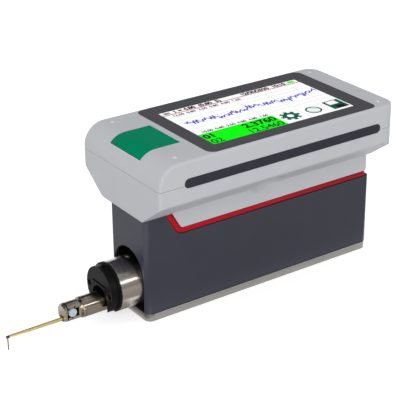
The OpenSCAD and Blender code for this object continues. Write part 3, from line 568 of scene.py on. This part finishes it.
# Fields and grid
FIELD_U, FIELD_V = 49.4, 16.2
HEADER_V, HEADER_LINE = 48.7, 0.9
GRID_LOW, GRID_HIGH, HAIRLINE = 20.0, 44.0, 0.3
screen_piece("screen_field_white", [bar(0, 0, *SCREEN_SIZE)], lit_white, 0)
screen_piece("screen_field_green", [bar(0, 0, FIELD_U, FIELD_V)], lit_green, 1)
screen_piece("screen_header_line", [bar(0, HEADER_V, SCREEN_SIZE.x, HEADER_V + HEADER_LINE)],
             lit_pink, 1)
grid = [bar(u, GRID_LOW, u + HAIRLINE, GRID_HIGH) for u in (6.0, 26.0, 46.0, 66.0, 86.0)]
grid += [bar(4.0, v, 94.0, v + HAIRLINE) for v in (GRID_LOW, 24.8, 29.6, 34.4, 39.2, GRID_HIGH)]
grid += [bar(u, 1.2, u + HAIRLINE, 17.0) for u in (65.4, 81.0)]
screen_piece("screen_grid", grid, lit_pale, 1)

# Measured profile
TRACE_START, TRACE_END, TRACE_V, TRACE_STEPS, TRACE_WIDTH = 4.5, 94.0, 32.0, 150, 0.8


def trace_height(t):
    """Height of the profile, t of the way along: slow waves with finer ones on top."""
    spike = math.sin(311.0 * t + 0.4) * (0.6 + 1.3 * math.sin(23.0 * t) ** 4)
    return (1.1 * math.sin(14.0 * t + 0.6) + 0.8 * math.sin(39.0 * t + 1.1)
            + 0.9 * math.sin(97.0 * t) + 0.9 * math.sin(203.0 * t + 2.0) + 1.2 * spike)


steps = [i / TRACE_STEPS for i in range(TRACE_STEPS + 1)]
trace = [(TRACE_START + (TRACE_END - TRACE_START) * t, TRACE_V + trace_height(t)) for t in steps]
screen_piece("screen_trace", stroke(trace, TRACE_WIDTH), lit_blue, 2)

# Icons: a gear, a struck-through ring and a disk
GEAR, RING, DISK = (57.4, 9.6), (73.2, 9.2), (88.8, 9.1)
EIGHTHS = [45.0 * i for i in range(8)]
ring_u, ring_v = RING
disk_u, disk_v = DISK
icons = []
for a in EIGHTHS:
    icons.append(band(*GEAR, 2.0, 4.5, a - 22.5, a + 22.5, 5))
    icons.append(band(*GEAR, 4.4, 6.1, a - 12.0, a + 12.0, 2))
icons += [band(*RING, 3.8, 4.8, a, a + 45.0, 5) for a in EIGHTHS]
icons.append(bar(disk_u - 5.4, disk_v - 6.0, disk_u + 5.4, disk_v + 6.0))
screen_piece("screen_icons", icons, lit_icon, 2)
screen_piece("screen_disk_label",
             [bar(disk_u - 3.6, disk_v + 0.4, disk_u + 2.6, disk_v + 5.2)], lit_white, 3)
screen_piece("screen_ring_inside", [arc(*RING, 3.85, 0, 345, 23)], lit_mint, 1)
across_ring = [(ring_u - 2.0, ring_v + 2.0), (ring_u + 2.0, ring_v - 2.0)]
screen_piece("screen_ring_bar", stroke(across_ring, 1.7), lit_white, 2)
screen_piece("screen_disk_shutter",
             [bar(disk_u - 2.2, disk_v - 6.0, disk_u + 3.6, disk_v - 1.4)], lit_ink, 3)
screen_piece("screen_charge", [bar(88.0, 50.4, 92.8, 53.0), bar(92.8, 51.2, 93.4, 52.2)],
             lit_green, 1)
screen_piece("screen_sample_mark", [bar(2.4, 50.4, 6.4, 51.3), bar(2.4, 51.8, 6.4, 52.7)],
             lit_ink, 1)

# Numbers
VALUE_U, LABEL_U = FIELD_U - 0.9, 1.4
ROW_1, ROW_2, HEADER_ROW = 9.2, 1.9, 50.2
THIN, BOLD = 0.12, 0.3
figures("screen_value", [("2.3760", VALUE_U, ROW_1, 5.6, BOLD, "RIGHT"),
                         ("12.5460", VALUE_U, ROW_2, 5.2, THIN, "RIGHT"),
                         ("01", LABEL_U, ROW_1, 5.2, 0.34, "LEFT"),
                         ("02", LABEL_U, ROW_2, 5.2, THIN, "LEFT")], lit_ink, 2)
figures("screen_head", [("1 = 4.80  (0.80  5)", 8.6, HEADER_ROW, 3.1, 0.26, "LEFT"),
                        ("12/05/2020  10:10", 86.4, HEADER_ROW, 3.1, 0.26, "RIGHT")], lit_ink, 2)
figures("screen_scale",
        [("12.50  0.80  2.50  0.80  4.80  1.60", 5.0, 45.4, 2.4, THIN, "LEFT"),
         ("10.00  0.80  2.50  0.80  4.80  1.60", 4.5, 17.0, 2.3, THIN, "LEFT")], lit_ink, 2)


# ---------------------------------------------------------------- floor, light

FLOOR_Z = -0.2 * MM
LAID_Z = 0.5 * MM       # cards that lie on the bench
CEILING_Z = 1.6
BENCH_GLOW = 0.5        # brings the bench up to white for the eye
ROOM_LIGHT = 0.82


def seen_directly(tree):
    """1 for what the camera, gloss and glass see, 0 for light that falls on things."""
    path = add(tree, "ShaderNodeLightPath")
    seen = add(tree, "ShaderNodeMath",
               [(0, path.outputs["Is Camera Ray"]), (1, path.outputs["Is Glossy Ray"])],
               operation="MAXIMUM")
    return add(tree, "ShaderNodeMath",
               [(0, seen.outputs[0]), (1, path.outputs["Is Transmission Ray"])],
               operation="MAXIMUM").outputs[0]


def level(x0, y0, x1, y1, z):
    """Corners of a level rectangle, in metres."""
    return [(x0, y0, z), (x1, y0, z), (x1, y1, z), (x0, y1, z)]


def flat_sheet(name, corners, material):
    """One flat face over the corners."""
    build = bmesh.new()
    build.faces.new([build.verts.new(corner) for corner in corners])
    sheet = make_piece(name, build, material)
    return sheet


def lay_floor():
    """Pale bench: white to the eye, keeping the part's soft shadow."""
    material, tree, out = new_material("bench_paper")
    glow = add(tree, "ShaderNodeMath", [(0, seen_directly(tree)), (1, BENCH_GLOW)],
               operation="MULTIPLY")
    paper = add(tree, "ShaderNodeBsdfDiffuse", Color=linear("ECECEC"))
    lit = add(tree, "ShaderNodeEmission", [("Strength", glow.outputs[0])])
    both = add(tree, "ShaderNodeAddShader", [(0, paper.outputs[0]), (1, lit.outputs[0])])
    tree.links.new(both.outputs[0], out.inputs["Surface"])
    flat_sheet("bench", level(-6, -6, 6, 6, FLOOR_Z), material)


def light_room():
    """Even white room light; what the camera and the reflections see of it is plain white."""
    world = bpy.data.worlds.new("studio_room")
    scene.world = world
    world.use_nodes = True
    tree = world.node_tree
    tree.nodes.clear()
    soft = add(tree, "ShaderNodeBackground", Color=linear("FAFAFD"), Strength=ROOM_LIGHT)
    white = add(tree, "ShaderNodeBackground", Color=(1, 1, 1, 1), Strength=1.0)
    mix = add(tree, "ShaderNodeMixShader",
              [(0, seen_directly(tree)), (1, soft.outputs[0]), (2, white.outputs[0])])
    out = add(tree, "ShaderNodeOutputWorld")
    tree.links.new(mix.outputs[0], out.inputs["Surface"])


def hang_softbox(name, place, aim, width, height, watts, only_gloss=False):
    """A softbox of the given width and height that looks from place towards aim, in metres."""
    lamp = bpy.data.lights.new(name, "AREA")
    lamp.shape = "RECTANGLE"
    lamp.size = width
    lamp.size_y = height
    lamp.energy = watts
    box = bpy.data.objects.new(name, lamp)
    box.location = place
    box.visible_diffuse = not only_gloss
    box.rotation_euler = (Vector(aim) - Vector(place)).to_track_quat("-Z", "Y").to_euler()
    scene.collection.objects.link(box)


def hang_card(name, hex_colour, corners):
    """A studio card over the corners: only reflections see it, so that gloss has tones to show."""
    material, tree, out = new_material(name + "_paint")
    paint = add(tree, "ShaderNodeBsdfDiffuse", Color=linear(hex_colour))
    tree.links.new(paint.outputs[0], out.inputs["Surface"])
    card = flat_sheet(name, corners, material)
    card.visible_camera = False
    card.visible_diffuse = False
    card.visible_transmission = False
    card.visible_shadow = False


lay_floor()
light_room()
hang_card("dark_ceiling", "4C4A50", level(-5, 0, 5, 5, CEILING_Z))
hang_card("grey_ceiling", "A5A29C", level(-5, -5, 5, 0, CEILING_Z))
hang_card("grey_bench_card", "BDB8B1", level(-0.14, -0.9, 0.9, -0.025, LAID_Z))
hang_card("grey_sleeve_card", "CBC6BF", level(-0.14, -0.025, -0.079, 0.02, LAID_Z))
hang_card("pale_front_card", "EDECEB", level(-1.0, 0.02, -0.079, 0.9, LAID_Z))
hang_card("grey_wall_card", "A8A39C",
          [(-0.5, -0.95, 0.0), (2.0, -0.95, 0.0), (2.0, -0.95, 0.32), (-0.5, -0.95, 0.32)])
hang_softbox("softbox_key", (-0.85, -1.4, 0.92), (0, 0, 0.06), 0.9, 0.9, 11.4)
hang_softbox("strip_side", (0.6, -1.1, 0.66), (0, 0, 0.05), 1.3, 0.12, 2.4, only_gloss=True)


# ---------------------------------------------------------------- view layer update

bpy.context.view_layer.update()
